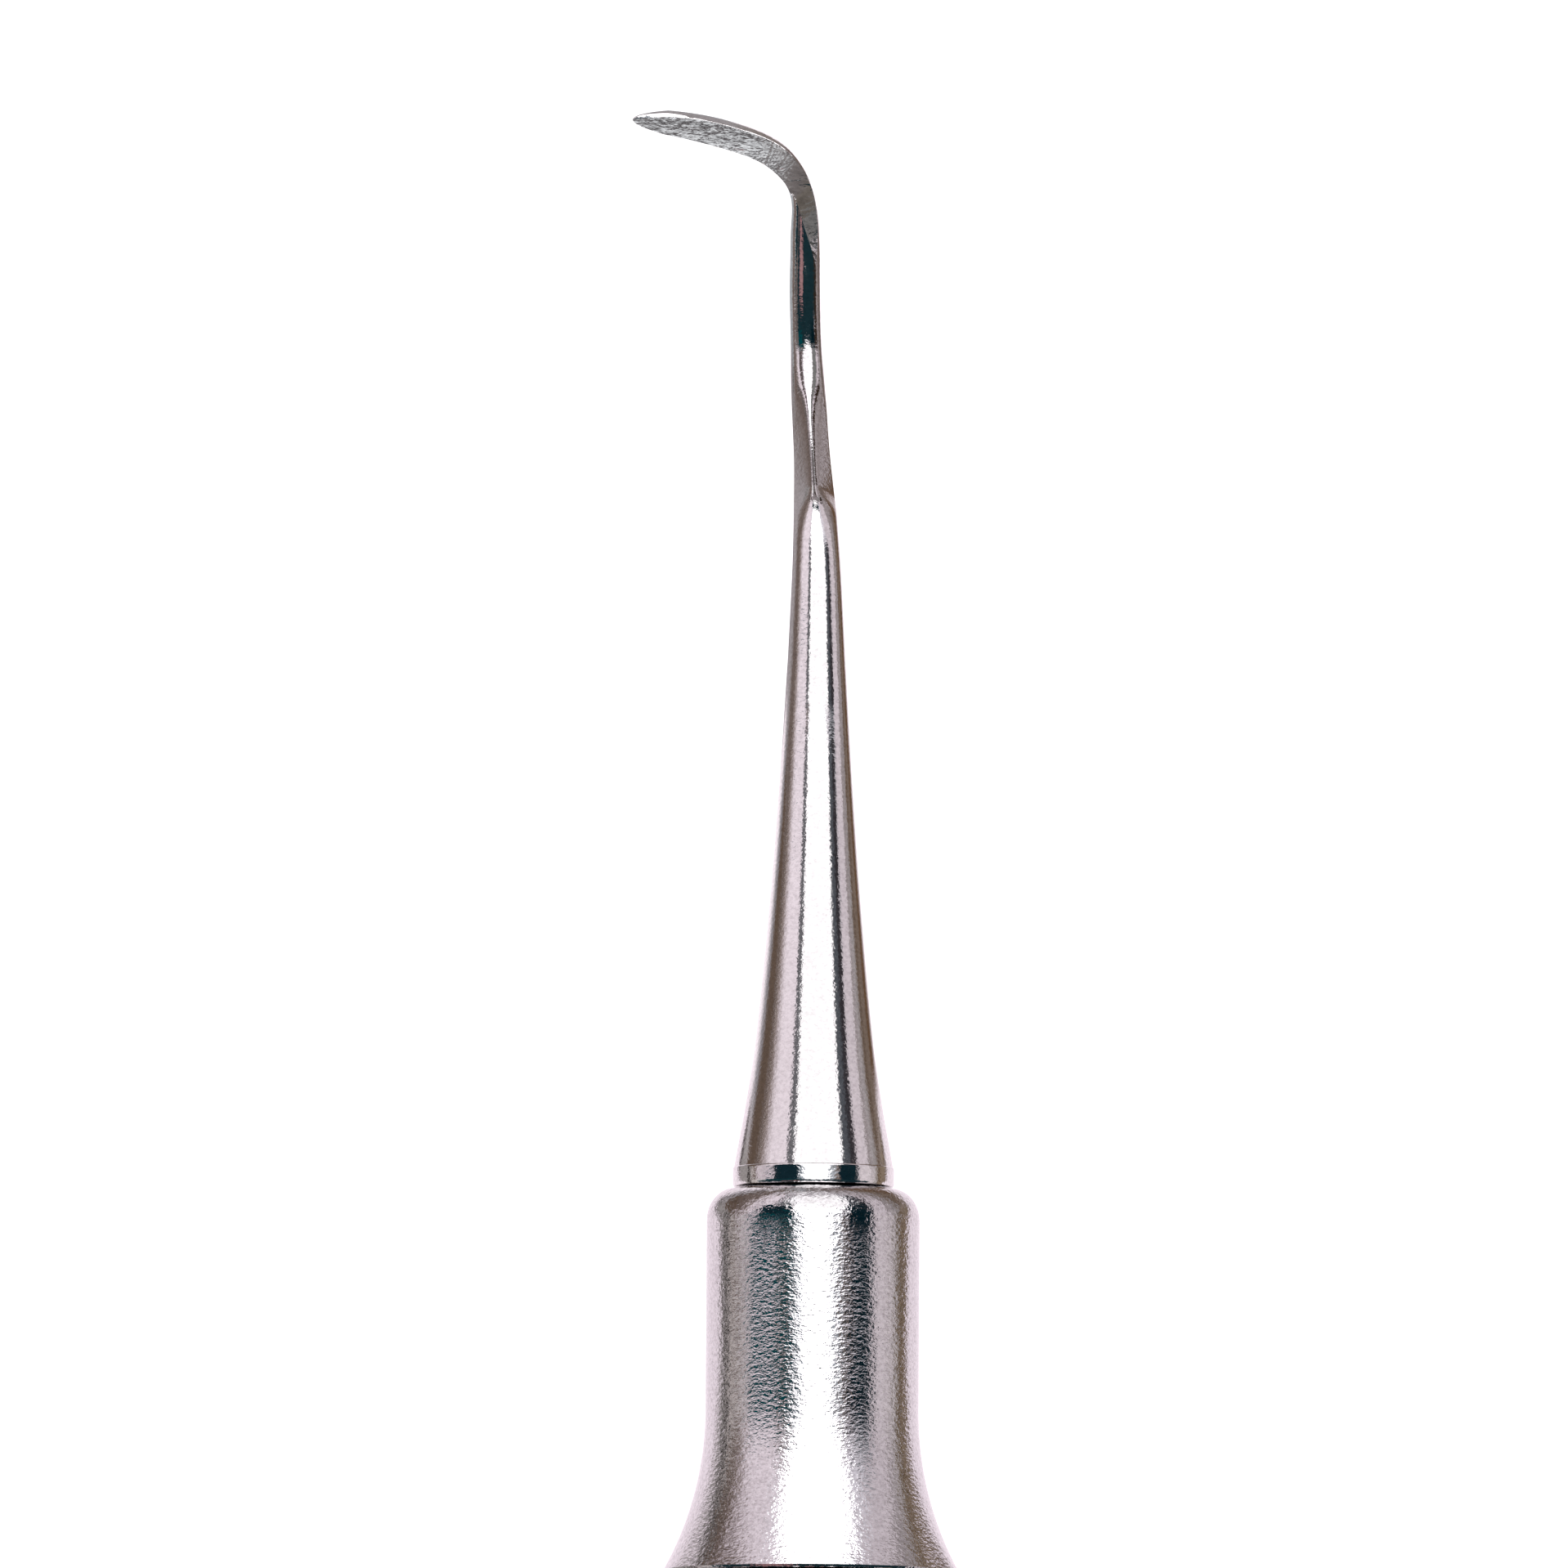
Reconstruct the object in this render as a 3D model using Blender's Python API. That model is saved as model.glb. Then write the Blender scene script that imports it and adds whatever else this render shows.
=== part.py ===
"""Double-ended dental hand scaler, as separate solids: run with blender --background --python part.py.

Metres, +Z up. The scaler lies on a tray at z = 0 with its handle along Y. The front working end points to +Y,
its hook reaches to -X and its ground face looks up. The rear working end is the mirrored partner of the front
one: it is the front end turned through the centre of the handle, so the whole tool has the usual S layout.
"""

import math

import bpy
import numpy as np
from mathutils import Matrix, Vector

MM = 0.001

# Driving dimensions, in millimetres.
OVERALL_LENGTH = 176.0
HANDLE_RADIUS = 4.75  # a 9.5 mm hollow handle, measured over the knurling
SIDES = 24  # facets round every turned surface; one facet looks straight down
JOINT_GAP = 0.05  # between pieces that touch

# Working end: heights are measured from the seam where its collar meets the nose.
WORKING_END_HEIGHT = 34.34
COLLAR_RADIUS = 2.56
COLLAR_HEIGHT = 0.62
TANG_RADIUS = 1.25
TANG_LENGTH = 15.0
TANG_CHAMFER = 0.3
SHANK_RADII = (  # height, radius
    (0.62, 2.53),
    (1.4, 2.39),
    (2.5, 2.19),
    (4.5, 1.89),
    (8.7, 1.48),
    (12.8, 1.17),
    (17.0, 0.91),
)
STRAIGHT_HEIGHT = 17.0  # below it the shank is turned true to the handle; above it is bent and ground

# Centre line of the bent stretch from the toe down: across, height, depth. The neck dips away and comes back.
BENT_PATH = (
    (-5.965, 34.07, 0.06),
    (-4.45, 33.92, 0.02),
    (-2.80, 33.55, 0.0),
    (-1.57, 33.06, -0.03),
    (-0.84, 32.36, -0.15),
    (-0.52, 31.58, -0.42),
    (-0.45, 30.30, -0.98),
    (-0.44, 28.60, -1.68),
    (-0.38, 26.80, -2.0),
    (-0.26, 24.60, -1.58),
    (-0.18, 23.30, -1.16),
    (-0.11, 22.10, -0.68),
    (-0.07, 21.40, -0.27),
    (-0.02, 19.80, -0.03),
    (0.0, STRAIGHT_HEIGHT, 0.0),
)
# Along that path, from the toe: distance, half width, half depth.
BENT_SIZES = (
    (1.1, 0.395, 0.30),
    (2.4, 0.448, 0.36),
    (3.9, 0.456, 0.40),
    (4.8, 0.445, 0.42),
    (5.8, 0.378, 0.42),
    (6.4, 0.378, 0.42),
    (7.5, 0.455, 0.455),
    (9.3, 0.49, 0.49),
    (11.2, 0.494, 0.494),
    (12.7, 0.545, 0.545),
    (15.0, 0.58, 0.58),
    (16.9, 0.675, 0.675),
    (21.6, 0.91, 0.91),
)
TOE_LENGTH = 1.1  # over which the blade rounds off as a parabola
ROUND_FACE_HALF = 7.5  # half the angle of one facet, where there is no ground face
FACE_END = 8.5
# The ground face is a chord of the section: distance from the toe, the way it looks, half the angle it spans.
# The way it looks is turned from straight up towards the outside of the bend.
GROUND_FACE = (
    (0.0, -26.0, 60.0),
    (1.1, -27.0, 62.0),
    (4.0, -26.0, 64.0),
    (5.3, -19.0, 71.0),
    (6.0, -4.0, 72.0),
    (6.35, 17.0, 58.0),
    (6.95, 28.0, 42.0),
    (7.55, 37.0, 27.0),
    (8.05, 41.0, 14.0),
    (FACE_END, 45.0, ROUND_FACE_HALF),
)
TOE_START = 0.012  # the first section lies this far from the very tip
BLADE_LENGTH = 7.0  # of the closely spaced sections round the bend
BLADE_RINGS = 20
NECK_RINGS = 20

# Ferrule: a nose that flares out to the handle, with a spigot inside it. Heights from its front face down.
NOSE_RADIUS = 3.38
NOSE_LAND_RADIUS = 2.56
SHOULDER_HEIGHT = 1.0
FLARE_START = 7.1
FLARE_RADIUS = 10.5
FERRULE_HEIGHT = 12.28  # visible length, from the front face to the handle's end
BORE_RADIUS = 1.6
SPIGOT_LENGTH = 7.0
SPIGOT_CHAMFER = 0.3
SHOULDER_STEPS = 6
FLARE_STEPS = 9

# Handle: a hollow tube with knurled grips either side of a plain middle band.
WALL = 0.85
GROOVE_DEPTH = 0.3
GROOVE_HALF_WIDTH = 0.45
MIDDLE_BAND_HALF = 6.5
EDGE_CHAMFER = 0.12

BOND_GAP = 0.05  # each side of the bond, where it touches steel
BOND_LENGTH = 13.0
BOND_TOP = -0.6  # where the bond starts, below the seam

SEAM = OVERALL_LENGTH / 2 - WORKING_END_HEIGHT
HANDLE_END = SEAM - FERRULE_HEIGHT

STEEL_BRIGHT = (0.72, 0.70, 0.69, 1.0)
STEEL_SATIN = (0.66, 0.64, 0.63, 1.0)
BOND_GREY = (0.33, 0.33, 0.34, 1.0)


def clear_scene():
    for item in list(bpy.data.objects):
        bpy.data.objects.remove(item, do_unlink=True)


def material(name, colour, roughness, metallic):
    made = bpy.data.materials.new(name)
    made.use_nodes = True
    shader = made.node_tree.nodes["Principled BSDF"]
    shader.inputs["Base Color"].default_value = colour
    shader.inputs["Roughness"].default_value = roughness
    shader.inputs["Metallic"].default_value = metallic
    made.diffuse_color = colour
    return made


def smooth_value(rows, position):
    """The smooth curve through rows of (position, value, ...), read at a position and held past the ends."""
    places = [row[0] for row in rows]
    values = [np.array(row[1:], dtype=float) for row in rows]
    if position <= places[0]:
        return values[0]
    if position >= places[-1]:
        return values[-1]
    last = len(rows) - 1
    slopes = []
    for i in range(last + 1):
        a, b = max(i - 1, 0), min(i + 1, last)
        slopes.append((values[b] - values[a]) / (places[b] - places[a]))
    i = max(k for k in range(last) if places[k] <= position)
    step = places[i + 1] - places[i]
    t = (position - places[i]) / step
    return (
        values[i] * (2 * t**3 - 3 * t**2 + 1)
        + slopes[i] * step * (t**3 - 2 * t**2 + t)
        + values[i + 1] * (3 * t**2 - 2 * t**3)
        + slopes[i + 1] * step * (t**3 - t**2)
    )


def path_by_distance():
    """BENT_PATH's points with their distance from the toe put in front."""
    rows = []
    distance = 0.0
    for i, point in enumerate(BENT_PATH):
        if i:
            distance += (Vector(point) - Vector(BENT_PATH[i - 1])).length
        rows.append((distance, *point))
    return rows


def ring(centre, outward, upward, half_width, half_depth, face_turn, face_half):
    """One section: a faceted ellipse whose last edge is the chord of the ground face."""
    start = math.radians(face_turn + face_half)
    sweep = math.radians(360 - 2 * face_half)
    points = []
    for k in range(SIDES):
        angle = start + sweep * k / (SIDES - 1)
        across = outward * (half_width * math.sin(angle))
        points.append(centre + across + upward * (half_depth * math.cos(angle)))
    return points


def turned_ring(height, radius):
    """A section of a true turned stretch, whose flats lie at the radius."""
    outer = radius / math.cos(math.pi / SIDES)
    turn, half = GROUND_FACE[-1][1:]
    return ring(Vector((0, height, 0)), Vector((1, 0, 0)), Vector((0, 0, 1)), outer, outer, turn, half)


def bent_ring(rows, distance):
    """A section of the bent stretch, square to its centre line."""
    nudge = 0.02
    centre = Vector(smooth_value(rows, distance))
    behind = Vector(smooth_value(rows, distance + nudge))
    before = Vector(smooth_value(rows, max(distance - nudge, 0.0)))
    along = (before - behind).normalized()
    outward = Vector((along.y, -along.x, 0)).normalized()
    upward = outward.cross(along).normalized()
    half_width, half_depth = smooth_value(BENT_SIZES, distance)
    if distance < TOE_LENGTH:
        shrink = math.sqrt(distance / TOE_LENGTH)
        half_width *= shrink
        half_depth *= shrink
    turn, half = smooth_value(GROUND_FACE, distance)
    grow = 1 / math.cos(math.pi / SIDES) if distance > FACE_END else 1.0
    return ring(centre, outward, upward, half_width * grow, half_depth * grow, turn, half)


def working_end_rings():
    """Sections from the toe, round the bend and down the shank to the end of the tang."""
    rows = path_by_distance()
    neck_length = rows[-1][0] - BLADE_LENGTH
    rings = []
    for k in range(BLADE_RINGS + 1):
        share = (k / BLADE_RINGS) ** 1.45
        rings.append(bent_ring(rows, TOE_START + (BLADE_LENGTH - TOE_START) * share))
    for k in range(1, NECK_RINGS):
        rings.append(bent_ring(rows, BLADE_LENGTH + neck_length * k / NECK_RINGS))
    for height, radius in reversed(SHANK_RADII):
        rings.append(turned_ring(height, radius))
    rings.append(turned_ring(COLLAR_HEIGHT - EDGE_CHAMFER, COLLAR_RADIUS))
    rings.append(turned_ring(EDGE_CHAMFER, COLLAR_RADIUS))
    rings.append(turned_ring(0, COLLAR_RADIUS - EDGE_CHAMFER))
    rings.append(turned_ring(0, TANG_RADIUS))
    rings.append(turned_ring(TANG_CHAMFER - TANG_LENGTH, TANG_RADIUS))
    rings.append(turned_ring(-TANG_LENGTH, TANG_RADIUS - TANG_CHAMFER))
    return rings


def signed_volume(mesh):
    """Six times the enclosed volume; below zero when the faces look inwards."""
    mesh.calc_loop_triangles()
    total = 0.0
    for triangle in mesh.loop_triangles:
        a, b, c = (mesh.vertices[i].co for i in triangle.vertices)
        total += a.dot(b.cross(c))
    return total


def solid_object(name, points, faces, made_of, smooth_angle=30.0):
    """A named object from points in millimetres, with its faces turned to look outwards."""
    mesh = bpy.data.meshes.new(name)
    mesh.from_pydata([Vector(p) * MM for p in points], [], faces)
    if signed_volume(mesh) < 0:
        mesh.flip_normals()
    mesh.shade_smooth()
    mesh.set_sharp_from_angle(angle=math.radians(smooth_angle))
    mesh.materials.append(made_of)
    made = bpy.data.objects.new(name, mesh)
    bpy.context.scene.collection.objects.link(made)
    return made


def loft(rings, closed):
    """Points and faces of a skin over rings; closed joins the last ring to the first, else both ends are capped."""
    count = len(rings)
    points = [point for loop in rings for point in loop]
    faces = []
    for i in range(count if closed else count - 1):
        a, b = i * SIDES, (i + 1) % count * SIDES
        for k in range(SIDES):
            n = (k + 1) % SIDES
            faces.append((a + k, a + n, b + n, b + k))
    if not closed:
        faces.append(tuple(range(SIDES))[::-1])
        faces.append(tuple((count - 1) * SIDES + k for k in range(SIDES)))
    return points, faces


def working_end(name, made_of):
    points, faces = loft(working_end_rings(), closed=False)
    return solid_object(name, points, faces, made_of)


def turned_tube(name, profile, made_of):
    """A turned piece with a bore, from a closed profile of (height, radius) points."""
    points, faces = loft([turned_ring(height, radius) for height, radius in profile], closed=True)
    return solid_object(name, points, faces, made_of)


def ferrule_profile():
    """Down the outside from the mouth of the bore, round the spigot's end and back up the bore."""
    profile = [(-JOINT_GAP, BORE_RADIUS), (-JOINT_GAP, NOSE_LAND_RADIUS)]
    for k in range(1, SHOULDER_STEPS + 1):
        angle = math.radians(90) * k / SHOULDER_STEPS
        radius = NOSE_LAND_RADIUS + (NOSE_RADIUS - NOSE_LAND_RADIUS) * math.sin(angle)
        profile.append((-JOINT_GAP - SHOULDER_HEIGHT * (1 - math.cos(angle)), radius))
    flare_angle = math.acos(1 - (HANDLE_RADIUS - EDGE_CHAMFER / 2 - NOSE_RADIUS) / FLARE_RADIUS)
    for k in range(FLARE_STEPS + 1):
        angle = flare_angle * k / FLARE_STEPS
        radius = NOSE_RADIUS + FLARE_RADIUS * (1 - math.cos(angle))
        profile.append((-FLARE_START - FLARE_RADIUS * math.sin(angle), radius))
    spigot_radius = HANDLE_RADIUS - WALL - JOINT_GAP
    spigot_end = -FERRULE_HEIGHT - SPIGOT_LENGTH
    profile.append((-FERRULE_HEIGHT, HANDLE_RADIUS - EDGE_CHAMFER))
    profile.append((-FERRULE_HEIGHT, spigot_radius))
    profile.append((spigot_end + SPIGOT_CHAMFER, spigot_radius))
    profile.append((spigot_end, spigot_radius - SPIGOT_CHAMFER))
    profile.append((spigot_end, BORE_RADIUS))
    return profile


def handle_profile():
    """Half of the outside with its end chamfer and grooves, mirrored to the other half, then the bore."""
    end = HANDLE_END - JOINT_GAP
    bottom = HANDLE_RADIUS - GROOVE_DEPTH
    half = [(end, HANDLE_RADIUS - EDGE_CHAMFER), (end - EDGE_CHAMFER, HANDLE_RADIUS)]
    groove = MIDDLE_BAND_HALF + GROOVE_HALF_WIDTH
    half.append((groove + GROOVE_HALF_WIDTH, HANDLE_RADIUS))
    half.append((groove + GROOVE_HALF_WIDTH - GROOVE_DEPTH, bottom))
    half.append((groove - GROOVE_HALF_WIDTH + GROOVE_DEPTH, bottom))
    half.append((groove - GROOVE_HALF_WIDTH, HANDLE_RADIUS))
    other = [(-height, radius) for height, radius in reversed(half)]
    bore = HANDLE_RADIUS - WALL
    return [(end, bore), *half, *other, (-end, bore)]


def bond_profile():
    inner = TANG_RADIUS + BOND_GAP
    outer = BORE_RADIUS - BOND_GAP
    bottom = BOND_TOP - BOND_LENGTH
    return [(BOND_TOP, inner), (BOND_TOP, outer), (bottom, outer), (bottom, inner)]


def placed(made, height, rear):
    """Move a piece modelled from the seam to its place; the rear one goes through the handle's centre."""
    move = Matrix.Translation(Vector((0, height, 0)) * MM)
    if rear:
        move = Matrix.Diagonal((-1, -1, -1, 1)) @ move
    raise_axis = Matrix.Translation(Vector((0, 0, HANDLE_RADIUS)) * MM)
    made.data.transform(raise_axis @ move)
    if rear:
        made.data.flip_normals()
    return made


def build():
    clear_scene()
    for end, rear in (("front", False), ("rear", True)):
        bright = material(f"{end}_polished_steel", STEEL_BRIGHT, 0.12, 1.0)
        satin = material(f"{end}_satin_steel", STEEL_SATIN, 0.28, 1.0)
        bond = material(f"{end}_bond", BOND_GREY, 0.6, 0.0)
        placed(working_end(f"{end}_working_end", bright), SEAM, rear)
        placed(turned_tube(f"{end}_ferrule", ferrule_profile(), satin), SEAM, rear)
        placed(turned_tube(f"{end}_bond_sleeve", bond_profile(), bond), SEAM, rear)
    tube = material("knurled_steel", STEEL_SATIN, 0.32, 1.0)
    placed(turned_tube("handle_tube", handle_profile(), tube), 0, False)


build()
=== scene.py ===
"""A double-ended dental hand scaler on a pale floor, seen from above its front working end.

Lengths are millimetres until solid() and lit_card() turn them into metres. A working end and its ferrule are made
about the seam between them, with the handle's axis as +Y; the rear pair is the front pair mirrored through the
handle's centre.
"""

import math

import bpy
import numpy as np
from mathutils import Matrix, Vector, noise


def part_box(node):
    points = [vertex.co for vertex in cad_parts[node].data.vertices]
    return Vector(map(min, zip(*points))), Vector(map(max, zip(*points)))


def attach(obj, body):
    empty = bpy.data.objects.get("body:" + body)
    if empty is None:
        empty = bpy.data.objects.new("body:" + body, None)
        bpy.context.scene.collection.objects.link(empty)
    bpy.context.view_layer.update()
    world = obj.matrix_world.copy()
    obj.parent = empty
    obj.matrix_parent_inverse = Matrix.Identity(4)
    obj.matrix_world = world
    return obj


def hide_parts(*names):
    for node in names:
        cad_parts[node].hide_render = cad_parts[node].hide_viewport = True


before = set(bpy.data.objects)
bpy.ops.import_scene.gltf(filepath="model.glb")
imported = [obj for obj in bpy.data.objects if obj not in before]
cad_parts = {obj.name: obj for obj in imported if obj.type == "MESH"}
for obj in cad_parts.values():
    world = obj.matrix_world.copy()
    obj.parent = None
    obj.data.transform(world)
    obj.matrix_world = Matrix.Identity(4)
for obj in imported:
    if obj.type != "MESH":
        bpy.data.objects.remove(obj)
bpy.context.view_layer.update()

MM = 0.001
GAP = 0.05  # left between pieces that touch

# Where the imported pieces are.
handle_low, handle_high = (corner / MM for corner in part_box("handle_tube"))
HANDLE_RADIUS = (handle_high.z - handle_low.z) / 2
AXIS = handle_low.z + HANDLE_RADIUS
HANDLE_END = handle_high.y + GAP
SEAM = (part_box("front_ferrule")[1] / MM).y + GAP

# The working end, in heights above the seam.
COLLAR_RADIUS = 2.56
COLLAR_HEIGHT = 0.62
COLLAR_EDGE = 0.10
STEP_HALF = 0.02  # half the height of the step from the shank out to the collar
STEP_ROUND = 0.008  # how far the step's corners are drawn in
CRISP = 0.05  # a ring this near an edge keeps it crisp
TANG_RADIUS = 1.25
TANG_LENGTH = 15.0
TANG_FILLET = 0.2
CHAMFER = 0.3  # at the hidden ends of the tang and the spigot
SHANK_RADII = (  # height, radius
    (0.62, 2.53),
    (1.4, 2.39),
    (2.5, 2.19),
    (4.5, 1.89),
    (8.7, 1.48),
    (12.8, 1.17),
    (17.0, 0.91),
)
STRAIGHT_HEIGHT = 17.0
BENT_PATH = (  # across, height, depth
    (-5.965, 34.07, 0.06),
    (-4.45, 33.92, 0.02),
    (-2.80, 33.55, 0.0),
    (-1.57, 33.06, -0.03),
    (-0.84, 32.36, -0.15),
    (-0.52, 31.58, -0.42),
    (-0.45, 30.30, -0.98),
    (-0.44, 28.60, -1.68),
    (-0.38, 26.80, -2.0),
    (-0.26, 24.60, -1.58),
    (-0.18, 23.30, -1.16),
    (-0.11, 22.10, -0.68),
    (-0.07, 21.40, -0.27),
    (-0.02, 19.80, -0.03),
    (0.0, STRAIGHT_HEIGHT, 0.0),
)
BENT_SIZES = (  # distance from the toe, half width, half depth
    (1.1, 0.395, 0.30),
    (2.4, 0.448, 0.36),
    (3.9, 0.456, 0.40),
    (4.8, 0.445, 0.42),
    (5.8, 0.378, 0.42),
    (6.4, 0.378, 0.42),
    (7.5, 0.455, 0.455),
    (9.3, 0.49, 0.49),
    (11.2, 0.494, 0.494),
    (12.7, 0.545, 0.545),
    (15.0, 0.58, 0.58),
    (16.9, 0.675, 0.675),
    (21.6, 0.91, 0.91),
)
TOE_LENGTH = 1.1
FACE_END = 8.5
GROUND_FACE = (  # distance, the way it looks, half the angle it spans; past FACE_END it lies on the round
    (0.0, -26.0, 60.0),
    (1.1, -27.0, 62.0),
    (4.0, -26.0, 64.0),
    (5.3, -19.0, 71.0),
    (6.0, -4.0, 72.0),
    (6.35, 17.0, 58.0),
    (6.95, 28.0, 42.0),
    (7.55, 37.0, 27.0),
    (8.05, 41.0, 14.0),
    (FACE_END, 45.0, 3.5),
    (9.8, 45.0, 26.0),
    (12.0, 45.0, 40.0),
)
RIDGE = (  # distance, how far the section is a ridge and not an ellipse, the ridge's rounding, depth over width
    (12.0, 0.0, 0.9, 1.0),
    (12.7, 0.3, 0.7, 1.0),
    (13.2, 0.82, 0.4, 1.04),
    (13.8, 0.95, 0.22, 1.1),
    (14.6, 0.97, 0.17, 1.14),
    (16.2, 0.97, 0.17, 1.16),
    (16.8, 0.85, 0.32, 1.12),
    (17.3, 0.5, 0.6, 1.04),
    (17.9, 0.12, 0.8, 1.0),
    (18.8, 0.0, 0.9, 1.0),
)
BACK_BEVEL = (  # distance, length along each side of the edge between the ground face and the back
    (0.0, 0.045),
    (0.35, 0.062),
    (1.2, 0.062),
    (2.1, 0.012),
    (3.0, 0.008),
    (FACE_END, 0.006),
)
BEVEL_LIMIT = 0.16  # of the face's width
GRINDING_MARKS = (  # cells per mm along and across, more across at the bend, height, share of it lost there, seed
    (1.7, 5.5, 3.0, 0.010, 0.5, 3.1),
    (4.2, 11.0, 6.0, 0.006, 0.0, 8.7),
    (7.0, 21.0, 0.0, 0.002, 0.0, 1.9),
)
MARK_SLANT = 0.3  # of the marks to the blade, in radians
MARK_TURN = 1.75  # how far they turn back over the bend
BEND_START = 4.2
BEND_LENGTH = 1.6
MARK_FADE = 0.5  # marks are weaker where the face is narrower than this
MARK_RIM = 0.03  # and die out this near its edges
ROUND_STEPS = 84
FACE_STEPS = 36
TOE_SPACING = 0.004  # grows by TOE_GROWTH over TOE_STEPS sections
TOE_GROWTH = 1.45
TOE_STEPS = 8
FACE_SPACING = 0.03
FACE_MARGIN = 0.3  # how far the face's close sections go on past its end
NECK_SPACING = 0.1
SHANK_SPACING = 0.2
NUDGE = 0.02  # between the places that give the path's direction

# The ferrule, whose front face is at the seam; heights go down from there.
NOSE_RADIUS = 3.38
SHOULDER_HEIGHT = 1.0
SHOULDER_STEPS = 18
NOSE_ROWS = (-1.35, -6.8, 19)  # heights of the first and last ring of the straight nose, and how many
FLARE_START = 7.1
FLARE_RADIUS = 10.5
FLARE_STEPS = 40
FERRULE_HEIGHT = SEAM - HANDLE_END
BORE_RADIUS = 1.6
BORE_EDGE = 0.1
SPIGOT_LENGTH = 7.0
SPIGOT_FILLET = 0.06
WALL = 0.85
EDGE = 0.12
TURNED_SIDES = 160

# The handle and its knurling.
KNURL_DEPTH = 0.3
KNURLS_ROUND = 24
KNURLS_ALONG = 27
KNURL_SLOPE = (0.0, 0.30, 0.62, 0.92, 1.0)  # from the bottom of a groove to the middle of a crest
KNURL_STEPS = 2 * (len(KNURL_SLOPE) - 1)
MIDDLE_BAND_HALF = 6.5
BAND_EDGE = 0.04
GROOVE_WIDTH = 0.9  # of the groove between the band and a grip
GROOVE_SLOPE = 0.25  # of its side towards the band
GRIP_STEP = 0.02  # of its side towards the grip
TUBE_EDGE = 0.08

# Camera: over the middle of the handle, aimed at the front working end through a long lens.
CAMERA_PLACE = Vector((-1.0, 0.0, 854.75))
CAMERA_AIM = Vector((-1.014, SEAM + 12.864, AXIS))
CAMERA_ROLL = 0.359
FRAME_WIDTH = 49.87
SENSOR = 36.0


# Shapes


def smooth_values(rows, at):
    """The smooth curve through rows of (position, value, ...) at every position, held past the ends."""
    rows = np.array(rows, float)
    place, value = rows[:, 0], rows[:, 1:]
    last = len(rows) - 1
    before = np.clip(np.arange(last + 1) - 1, 0, last)
    after = np.clip(np.arange(last + 1) + 1, 0, last)
    slope = (value[after] - value[before]) / (place[after] - place[before])[:, None]
    at = np.clip(at, place[0], place[-1])
    i = np.clip(np.searchsorted(place, at, side="right") - 1, 0, last - 1)
    step = (place[i + 1] - place[i])[:, None]
    t = (at - place[i])[:, None] / step
    return (
        value[i] * (2 * t**3 - 3 * t**2 + 1)
        + slope[i] * step * (t**3 - 2 * t**2 + t)
        + value[i + 1] * (3 * t**2 - 2 * t**3)
        + slope[i + 1] * step * (t**3 - t**2)
    )


def unit(vectors):
    return vectors / np.linalg.norm(vectors, axis=1)[:, None]


def ridged(share, amount, rounding):
    """Depths of a section's points, in half depths, with its top and bottom drawn up to a rounded ridge."""
    crown = math.hypot(1, rounding)
    ridge = (crown - np.hypot(share[:, 0], rounding)) / (crown - rounding)
    return share[:, 1] * (1 - amount) + np.sign(share[:, 1]) * ridge * amount


def grinding_height(distance, across):
    """Height of the grinding marks at a place on the ground face: wavy along the blade, finer across the bend."""
    bend = min(max((distance - BEND_START) / BEND_LENGTH, 0.0), 1.0)
    slant = MARK_SLANT - MARK_TURN * bend
    along = distance * math.cos(slant) + across * math.sin(slant)
    sideways = across * math.cos(slant) - distance * math.sin(slant)
    return sum(
        height * noise.noise(Vector((along * long, sideways * (fine + finer * bend), seed))) * (1 - lost * bend)
        for long, fine, finer, height, lost, seed in GRINDING_MARKS
    )


def section(distance, size, face, bevel):
    """A section's points, across and up: an ellipse, which the flat ground face cuts along the blade."""
    width, depth = size
    turn, half = np.radians(face)
    start = turn + half
    end = turn - half + 2 * math.pi

    def ellipse(angles):
        return np.column_stack([width * np.sin(angles), depth * np.cos(angles)])

    if distance >= FACE_END:
        back = ellipse(np.linspace(start, end, ROUND_STEPS + 1))
        return np.vstack([back, ellipse(np.linspace(end, start + 2 * math.pi, FACE_STEPS + 1)[1:-1])])

    chord = np.array([width * (math.sin(start) - math.sin(end)), depth * (math.cos(start) - math.cos(end))])
    length = math.hypot(*chord)
    cut = min(bevel, BEVEL_LIMIT * length)
    start += cut / math.hypot(width * math.cos(start), depth * math.sin(start))
    back = ellipse(np.linspace(start, end, ROUND_STEPS + 1))
    share = np.linspace(0, 1 - cut / length, FACE_STEPS)[1:]
    normal = np.array([-chord[1], chord[0]]) / length
    normal *= np.sign(normal @ np.array([math.sin(turn), math.cos(turn)]))
    marks = np.array([grinding_height(distance, s * length) for s in share]) * min(1.0, length / MARK_FADE)
    marks *= np.clip(np.minimum(share, share[-1] - share) * length / MARK_RIM, 0, 1)
    return np.vstack([back, back[-1] + share[:, None] * chord + marks[:, None] * normal])


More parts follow.
